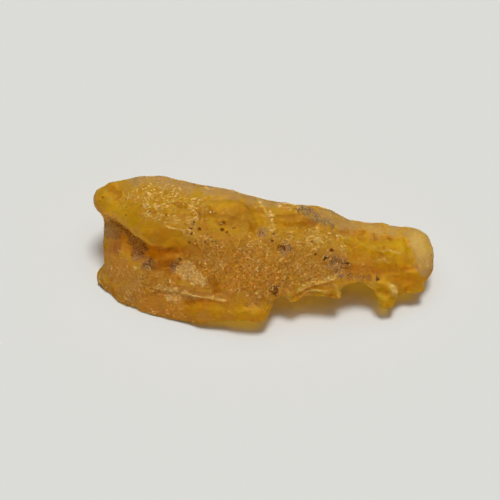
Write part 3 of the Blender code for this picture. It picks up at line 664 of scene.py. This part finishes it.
# %% Say how likely each kind is at each point
# The weights say how much more of a kind one finish draws than another. Only their ratios count.
THIN_VEIL = 0.13  # of the recess's clay on the low left corner
clumps = 0.25 + ramp(waves(places, length=1.6, octaves=2, offset=71.3), -0.1, 0.5)
smooth_is_bare = (1 - masks["clear"]) ** 2
around_pits = ramp(masks["pit"], 0.0, 0.02) * ramp(-masks["pit"], -0.3, -0.1)
# The front mask also draws more chips and tan grains to faces turned to the front, which lightens them as
# painted light.
chip_chances = clumps * (
    1.3 * masks["frill"] + 0.4 * masks["crust"] + 0.2 * masks["rim"] + 0.1 * masks["front"] + 0.04
    + 4 * around_pits
) * smooth_is_bare + 4.0 * masks["frost"] + 2.2 * masks["line"]
chip_chances *= (1 - melted) * (1 - 0.4 * hidden)
crust_chances = clumps * (masks["crust"] + 0.25 * masks["frill"] + 0.6 * masks["front"]) * smooth_is_bare
dust_chances = (0.3 * clumps + 0.7) * (
    masks["dirt"] + 1.2 * masks["moss"] + 0.1 * masks["purple"]
) * (1 - 0.7 * hidden)
haze_chances = daubs(strayed, HAZE) + THIN_VEIL * daubs(strayed, CORNER)
dirt_chances = clumps * (
    1.4 * masks["soil"] ** 1.3 + 0.4 * masks["moss"] + 0.06 * masks["crust"] + 0.5 * masks["crack"] + 0.004
)
print("chips may lie on", share(chip_chances > 0.3))

# %% Strew the five kinds
# Each has its count, the half sizes of its smallest and its largest grain, and its own seed.
chips = strew("pale_chips", chip_chances, 8500, (0.09, 0.06, 0.05), (0.32, 0.13, 0.08), seed=11)
crust_grains = strew("crust_grains", crust_chances, 6500, (0.06, 0.05, 0.04), (0.15, 0.11, 0.08), seed=17)
dust = strew("dust", dust_chances, 6000, (0.08, 0.06, 0.04), (0.18, 0.14, 0.06), seed=19)
haze = strew("pale_dust", haze_chances, 1000, (0.08, 0.06, 0.04), (0.18, 0.14, 0.06), seed=29)
dirt_grains = strew("dirt_grains", dirt_chances, 2800, (0.06, 0.05, 0.05), (0.17, 0.13, 0.10), seed=23)
kinds = (chips, crust_grains, dust, haze, dirt_grains)
print(sum(len(item.data.polygons) for item in kinds), "faces of grains")

# %% [markdown]
# ## The resin
#
# One material covers the piece, because it is one closed body of resin and light has to go in and out
# through the same glass. The see-through part is plain: transmission, an index of refraction of 1.54 and an
# amber absorption inside. The rest is colour, shine and grain on the skin, laid on finish by finish through
# the masks.


# %% Add nodes and link them
def plug(tree, socket, value):
    """Sets a socket to a value, or links it to another socket."""
    if isinstance(value, bpy.types.NodeSocket):
        tree.links.new(value, socket)
    else:
        socket.default_value = value


def add_node(tree, kind, **inputs):
    """A node with its named inputs set or linked. An underscore stands for a space in a name."""
    item = tree.nodes.new(kind)
    for name, value in inputs.items():
        plug(tree, item.inputs[name.replace("_", " ")], value)
    return item


def maths(tree, operation, first, second=0.0, clamp=False):
    """The result of a Math node."""
    item = tree.nodes.new("ShaderNodeMath")
    item.operation = operation
    item.use_clamp = clamp
    plug(tree, item.inputs[0], first)
    plug(tree, item.inputs[1], second)
    return item.outputs[0]


# %% Blend colours and ease values
def blend(tree, under, over, mask, mode="MIX"):
    """One colour laid over another through a mask."""
    item = tree.nodes.new("ShaderNodeMix")
    item.data_type = "RGBA"
    item.blend_type = mode
    plug(tree, item.inputs["Factor"], mask)
    plug(tree, item.inputs["A"], under)
    plug(tree, item.inputs["B"], over)
    return item.outputs["Result"]


def between(tree, value, low, high, to_low=0.0, to_high=1.0):
    """A value eased from one range to another."""
    item = add_node(
        tree, "ShaderNodeMapRange", Value=value, From_Min=low, From_Max=high, To_Min=to_low, To_Max=to_high
    )
    item.interpolation_type = "SMOOTHSTEP"
    return item.outputs["Result"]


# %% Make groups of nodes
def new_group(name, output, **inputs):
    """A shader node group with named inputs and one output, and its two ends."""
    group = bpy.data.node_groups.new(name, "ShaderNodeTree")
    for label, value in inputs.items():
        kind = "NodeSocketVector" if value is None else "NodeSocketFloat"
        socket = group.interface.new_socket(label.replace("_", " "), in_out="INPUT", socket_type=kind)
        if value is not None:
            socket.default_value = value
    group.interface.new_socket(output, in_out="OUTPUT", socket_type="NodeSocketFloat")
    return group, group.nodes.new("NodeGroupInput").outputs, group.nodes.new("NodeGroupOutput").inputs[0]


def per_mm(size):
    """The scale that gives a texture features of a size in millimetres."""
    return 1 / (size * MM)


# %% [markdown]
# ## Patterns that come back
#
# Dust, packed grains and hair cracks show in more than one finish. Each could be wired anew every time,
# but a node group is built once and placed with its own values wherever the pattern is needed.

# %% Build the dusting
# A soft painted mask says how much of the place is covered. Noise pushes it up and down, and a place is
# covered where the pushed mask is high, so a patch breaks into grains and thins out towards its edge.
WIDEN = 4.0  # noise stays near its middle, so its swing is widened
HALF_COVERED = 0.42  # the pushed mask at which a place is half covered
dusting, given, result = new_group(
    "dusting", "Mask", Place=None, Mask=0.0, Scale=2000.0, Break_Up=0.6, Softness=0.15
)
fine = add_node(
    dusting, "ShaderNodeTexNoise", Vector=given["Place"], Scale=given["Scale"], Detail=3.0, Roughness=0.65
)
swing = maths(dusting, "MULTIPLY", maths(dusting, "SUBTRACT", fine.outputs["Fac"], 0.5), given["Break Up"])
pushed = maths(dusting, "ADD", given["Mask"], maths(dusting, "MULTIPLY", swing, WIDEN))
low = maths(dusting, "SUBTRACT", HALF_COVERED, given["Softness"])
high = maths(dusting, "ADD", HALF_COVERED, given["Softness"])
edge = between(dusting, pushed, low, high)
plug(dusting, result, maths(dusting, "MULTIPLY", edge, between(dusting, given["Mask"], 0.0, 0.12)))

# %% Build the cobbles
# Grains packed side by side: a Voronoi pattern whose cells are high in the middle and low where they meet.
cobbled, given, result = new_group("cobbles", "Height", Place=None, Scale=2000.0)
cells = add_node(cobbled, "ShaderNodeTexVoronoi", Vector=given["Place"], Scale=given["Scale"], Randomness=0.9)
plug(cobbled, result, between(cobbled, cells.outputs["Distance"], 0.75, 0.1))

# %% Build the hair lines
# Where a noise crosses its middle value it draws a winding line. Fine wrinkles and crackle in resin run
# like that.
hairs, given, result = new_group("hair_lines", "Mask", Place=None, Scale=1000.0, Width=0.03)
longways = add_node(hairs, "ShaderNodeMapping", Vector=given["Place"], Scale=(0.55, 1.0, 1.0))
field = add_node(
    hairs, "ShaderNodeTexNoise", Vector=longways.outputs["Vector"],
    Scale=given["Scale"], Detail=3.0, Distortion=0.8,
)
off_middle = maths(hairs, "ABSOLUTE", maths(hairs, "SUBTRACT", field.outputs["Fac"], 0.5))
plug(hairs, result, between(hairs, off_middle, given["Width"], 0.0))

# %% [markdown]
# ## Laying the colours on
#
# Colours are given as they are on a palette, in linear light. The order is the order of the piece's own
# history: the body of the resin first, then its deep and yellow parts, the weathered skin, the crust and
# its grains, and last the dirt, frost and moss that lie on top.

# %% Mix the colours of resin and skin
AMBER = (1.0, 0.59, 0.006, 1)
HONEY = (1.0, 0.63, 0.025, 1)
DEEP_ORANGE = (1.0, 0.49, 0.001, 1)
PAINTED_FRONT_SHEEN = (1.0, 0.57, 0.2, 1)
SKIN_RUSSET = (0.84, 0.43, 0.07, 1)
RED_AMBER = (0.58, 0.21, 0.01, 1)
LEMON = (1.0, 0.63, 0.012, 1)
SKIN_TAN = (1.0, 0.6, 0.065, 1)
PAINTED_BACK_SHADE = (0.34, 0.14, 0.06, 1)
SKIN_PURPLE = (0.5, 0.21, 0.065, 1)

# %% Mix the colours of crust, dirt and grains
CRUST_TAN = (1.0, 0.66, 0.14, 1)
CRUST_DARK = (0.46, 0.15, 0.02, 1)
CRUST_LIGHT = (1.0, 0.76, 0.26, 1)
DIRT_GREY = (0.86, 0.66, 0.46, 1)
FROST_PALE = (1.0, 0.82, 0.42, 1)
MOSS_GREEN = (0.44, 0.37, 0.23, 1)
PALE_BEIGE = (1.0, 0.78, 0.46, 1)
STRIP_TAN = (0.82, 0.6, 0.35, 1)
RUST_BROWN = (0.16, 0.02, 0.006, 1)
PIT_BROWN = (0.15, 0.028, 0.003, 1)
LINE_PALE = (1.0, 0.76, 0.15, 1)
CHIP_CREAM = (1.0, 0.78, 0.3, 1)
CHIP_GOLD = (0.9, 0.58, 0.12, 1)
GRAIN_TAN = (0.92, 0.61, 0.19, 1)
GRAIN_BROWN = (0.34, 0.13, 0.024, 1)
DUST_TAN = (0.58, 0.37, 0.17, 1)
DUST_VIOLET = (0.26, 0.135, 0.065, 1)
HAZE_TAN = (0.58, 0.43, 0.2, 1)
HAZE_GREY = (0.78, 0.61, 0.32, 1)
SOIL_BROWN = (0.17, 0.07, 0.04, 1)
SOIL_SPECK = (0.15, 0.075, 0.05, 1)
OCHRE = (0.7, 0.3, 0.01, 1)
GOLD_BROWN = (0.62, 0.27, 0.001, 1)
FROST_GAP = (0.66, 0.38, 0.15, 1)
SOIL_BLACK = (0.045, 0.02, 0.016, 1)

# %% Start the resin
resin = bpy.data.materials.new("copal_resin")
resin.use_nodes = True
tree = resin.node_tree
shader = tree.nodes["Principled BSDF"]
place = tree.nodes.new("ShaderNodeTexCoord").outputs["Object"]


def painted(name, tree=tree):
    """The value left on a mesh's points under a name."""
    item = tree.nodes.new("ShaderNodeAttribute")
    item.attribute_name = name
    return item.outputs["Fac"]


def use_group(group, **inputs):
    """A node group placed in the resin, with its inputs set."""
    item = tree.nodes.new("ShaderNodeGroup")
    item.node_tree = group
    plug(tree, item.inputs["Place"], place)
    for name, value in inputs.items():
        plug(tree, item.inputs[name.replace("_", " ")], value)
    return item.outputs[0]


def dusted(name, size, break_up, softness=0.15):
    """A painted mask broken into grains of a size."""
    return use_group(dusting, Mask=painted(name), Scale=per_mm(size), Break_Up=break_up, Softness=softness)


def noise_of(size, detail=3.0, roughness=0.6, at=place):
    """Noise of a size in millimetres."""
    texture = add_node(
        tree, "ShaderNodeTexNoise", Vector=at, Scale=per_mm(size), Detail=detail, Roughness=roughness
    )
    return texture.outputs["Fac"]


def times(first, second):
    """The product of two values in the resin."""
    return maths(tree, "MULTIPLY", first, second)


def lay(under, over, mask, strength=1.0):
    """A colour laid over the resin's colours so far through a mask."""
    return blend(tree, under, over, maths(tree, "MULTIPLY", mask, strength, clamp=True))


# %% Break each mask into grains
# Each has the size of its grains in millimetres, how far noise breaks it up, and how soft its grains are.
THIN_SOIL = 0.42  # soil lies thinly, so its mask is weakened
clear = dusted("clear", 1.0, 0.25, 0.2)
crust = dusted("crust", 0.9, 0.3, 0.2)
dirt = dusted("dirt", 0.9, 0.5, 0.35)
thin_soil = times(painted("soil"), THIN_SOIL)
soil = use_group(dusting, Mask=thin_soil, Scale=per_mm(0.34), Break_Up=1.0, Softness=0.12)
frost = dusted("frost", 0.5, 0.6, 0.25)
moss = dusted("moss", 0.32, 0.9, 0.2)
golden = dusted("golden", 1.2, 0.3, 0.35)
yellow = dusted("yellow", 1.4, 0.4, 0.35)
deep = dusted("deep", 1.6, 0.3, 0.35)
pale = dusted("pale", 1.0, 0.12, 0.25)
strip = dusted("strip", 0.8, 0.4, 0.3)
rust = dusted("rust", 0.4, 0.7)
red = dusted("red", 1.0, 0.4, 0.3)
purple = dusted("purple", 0.9, 0.3, 0.3)
frill = painted("frill")
pit = painted("pit")
print(len(tree.nodes), "nodes read the masks")

# %% Lay in the noises
# From wide clouds to grit, in millimetres. The combed ones are drawn out along the piece.
clouds = noise_of(4.5)
mottle = noise_of(1.3, 4.0)
grit = noise_of(0.36, 3.0, 0.7)
speckle = noise_of(0.7, 4.0, 0.75)
combed = add_node(tree, "ShaderNodeMapping", Vector=place, Scale=(0.33, 1.0, 1.0)).outputs["Vector"]
fibres = noise_of(0.42, 4.0, 0.7, combed)
streaks = noise_of(1.2, 4.0, 0.7, combed)
wrinkles = use_group(hairs, Scale=per_mm(1.0), Width=0.055)
creases = use_group(hairs, Scale=per_mm(0.8), Width=0.05)
cobbles = use_group(cobbled, Scale=per_mm(0.46))
print(len(tree.nodes), "nodes with the noises")

# %% Lay the body of the resin and its skin
colour = blend(tree, AMBER, HONEY, between(tree, clouds, 0.45, 0.72))
colour = lay(colour, DEEP_ORANGE, deep, 0.9)
colour = lay(colour, LEMON, yellow)
colour = lay(colour, GOLD_BROWN, golden)
skin = blend(tree, SKIN_TAN, SKIN_RUSSET, between(tree, mottle, 0.46, 0.68))
skin = lay(skin, AMBER, between(tree, noise_of(2.6), 0.45, 0.7), 0.8)
body_shows = maths(tree, "MAXIMUM", clear, maths(tree, "MAXIMUM", golden, times(deep, 0.7)))
colour = blend(tree, skin, colour, body_shows)
# Painted sheen: faces turned to the front are laid paler and less orange, as the tops are by the sky.
colour = lay(colour, PAINTED_FRONT_SHEEN, painted("front"), 0.6)
colour = lay(colour, STRIP_TAN, strip, 0.85)
colour = lay(colour, PALE_BEIGE, pale)
# Painted glow: the rims are laid paler, where light leaves the resin.
colour = lay(colour, HONEY, painted("rim"), 0.6)
colour = lay(colour, SKIN_PURPLE, purple, 0.85)
colour = lay(colour, RED_AMBER, red, 0.8)
# Painted shade: a dark brown rim where the back turns up and away from the camera.
colour = lay(colour, PAINTED_BACK_SHADE, painted("back_rim_shade"), 0.8)

# %% Lay the crust and its grains
grains = blend(tree, CRUST_TAN, CRUST_DARK, between(tree, grit, 0.50, 0.70))
grains = lay(grains, CRUST_LIGHT, between(tree, grit, 0.46, 0.30), 0.9)
grains = lay(grains, CRUST_DARK, between(tree, cobbles, 0.40, 0.05), 0.35)
crusted = times(crust, maths(tree, "SUBTRACT", 1.0, times(clear, 0.85)))
colour = blend(tree, colour, grains, crusted)

# %% Lay the flecks of the shelf
frilled = between(tree, frill, 0.05, 0.5)
for fleck, pattern, strength in (
    (GOLD_BROWN, between(tree, streaks, 0.50, 0.64), 0.45),
    (LEMON, between(tree, streaks, 0.50, 0.38), 0.8),
    (OCHRE, between(tree, grit, 0.50, 0.60), 0.35),
    (LINE_PALE, between(tree, grit, 0.46, 0.32), 0.6),
    (CRUST_DARK, creases, 0.45),
    (LINE_PALE, wrinkles, 0.4),
):
    colour = lay(colour, fleck, times(frilled, pattern), strength)

# %% Lay the dirt, frost, moss and lines, and darken the hollows
colour = lay(colour, DIRT_GREY, dirt, 0.7)
colour = lay(colour, SOIL_SPECK, soil, 0.9)
# The hollows are laid a darker crust colour.
colour = lay(colour, CRUST_DARK, painted("hollow"), 0.35)
frosting = blend(tree, FROST_PALE, FROST_GAP, between(tree, grit, 0.44, 0.60))
colour = lay(colour, frosting, frost, 0.9)
colour = lay(colour, MOSS_GREEN, moss, 0.9)
colour = lay(colour, RUST_BROWN, rust, 0.9)
colour = lay(colour, CRUST_DARK, painted("crack"), 1.2)
# The pale lines are partly a painted highlight, where folds catch the light.
broken_line = times(painted("line"), between(tree, speckle, 0.35, 0.6))
colour = lay(colour, LINE_PALE, broken_line, 1.3)
colour = lay(colour, PIT_BROWN, between(tree, pit, 0.10, 0.40))

# %% Mottle it all
# A shadowed place in resin is redder as well as darker, and a bright one paler, so the mottling is itself
# coloured.
MOTTLE_DARK = (0.87, 0.75, 0.52, 1)
MOTTLE_LIGHT = (1.1, 1.14, 1.12, 1)
weathered = maths(
    tree, "ADD", maths(tree, "ADD", crusted, frost), maths(tree, "ADD", dirt, frill), clamp=True
)
swing = between(tree, weathered, 0.0, 1.0, 0.45, 1.0)
shade = between(tree, maths(tree, "ADD", speckle, fibres), 0.87, 1.13)
shade = blend(tree, MOTTLE_DARK, MOTTLE_LIGHT, shade)
mottled = blend(tree, colour, shade, 1.0, "MULTIPLY")
colour = blend(tree, colour, mottled, swing)
plug(tree, shader.inputs["Base Color"], colour)
print("colours laid in", len(tree.nodes), "nodes")

# %% [markdown]
# ## Shine and grain
#
# A rubbed lip is smoother than plain skin, and crust, dirt and frost are duller still. The finest grain is
# smaller than the skin's squares. A finer mesh could carry it, but a bump shades it without one. Everything
# larger is in the mesh.

# %% Set the shine and the grain
BUMP_STRENGTH = 0.8
BUMP_HEIGHT = 0.14 * MM
dull = maths(tree, "ADD", crusted, maths(tree, "ADD", dirt, frost), clamp=True)
shine = between(tree, clear, 0.0, 1.0, 0.68, 0.52)
shine = maths(tree, "ADD", shine, times(dull, 0.15))
shine = maths(tree, "ADD", shine, between(tree, mottle, 0.3, 0.7, -0.08, 0.08), clamp=True)
plug(tree, shader.inputs["Roughness"], shine)

relief = times(maths(tree, "ADD", cobbles, grit), between(tree, dull, 0.0, 1.0, 0.15, 0.8))
relief = maths(tree, "ADD", relief, times(maths(tree, "ADD", speckle, fibres), 0.4))
relief = maths(tree, "ADD", relief, times(wrinkles, frill))
bump = add_node(tree, "ShaderNodeBump", Height=relief, Strength=BUMP_STRENGTH, Distance=BUMP_HEIGHT)
plug(tree, shader.inputs["Normal"], bump.outputs["Normal"])
print("the finest grain is shaded as", round(BUMP_HEIGHT / MM, 2), "mm high")

# %% Set the glass
# What isn't transmitted is scattered under the skin, red farthest, which gives thick resin its glow.
GLASS = {
    "IOR": 1.54,
    "Transmission Weight": 0.82,
    "Specular IOR Level": 0.2,
    "Specular Tint": (1.0, 0.70, 0.12, 1),
    "Subsurface Weight": 1.0,
    "Subsurface Radius": (1.0, 0.65, 0.08),
    "Subsurface Scale": 5.0 * MM,
}
AMBER_GLASS = (0.985, 0.965, 0.02, 1)  # passes red and green, and stops blue
ABSORPTION = 210.0  # per metre, so that a centimetre takes seven eighths of the blue
for name, value in GLASS.items():
    shader.inputs[name].default_value = value
inside = add_node(tree, "ShaderNodeVolumeAbsorption", Color=AMBER_GLASS, Density=ABSORPTION)
plug(tree, tree.nodes["Material Output"].inputs["Volume"], inside.outputs["Volume"])
piece.data.materials.append(resin)
print("resin mixed from", len(tree.nodes), "nodes")

# %% [markdown]
# ## The colours of the grains
#
# Chips, sand, clay and soil are too small to see through, so their finishes are opaque. Object Info's
# random value varies a colour only between objects, and all grains of a kind are one mesh here. So each
# grain carries its own tone, which picks a colour between two.


# %% Colour the grains
def grain_finish(name, darker, lighter, roughness):
    """An opaque material whose grains each have their own tone between two colours."""
    material = bpy.data.materials.new(name)
    material.use_nodes = True
    tree = material.node_tree
    surface = tree.nodes["Principled BSDF"].inputs
    plug(tree, surface["Base Color"], blend(tree, darker, lighter, painted("tone", tree)))
    surface["Roughness"].default_value = roughness
    surface["Specular IOR Level"].default_value = 0.2
    return material


for strewn, *finish in (
    (chips, "chipped_resin", CHIP_GOLD, CHIP_CREAM, 0.6),
    (crust_grains, "weathered_grains", GRAIN_BROWN, GRAIN_TAN, 0.8),
    (dust, "grey_dust", DUST_VIOLET, DUST_TAN, 0.9),
    (haze, "pale_clay", HAZE_TAN, HAZE_GREY, 0.9),
    (dirt_grains, "dark_soil", SOIL_BLACK, SOIL_BROWN, 0.9),
):
    strewn.data.materials.append(grain_finish(*finish))
    print(strewn.name, "is", finish[0])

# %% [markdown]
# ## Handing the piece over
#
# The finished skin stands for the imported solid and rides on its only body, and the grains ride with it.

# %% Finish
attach(piece, "root")
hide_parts(NODE)
for strewn in kinds:
    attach(strewn, "root")
print("triangles:", sum(len(polygon.vertices) - 2 for polygon in piece.data.polygons))
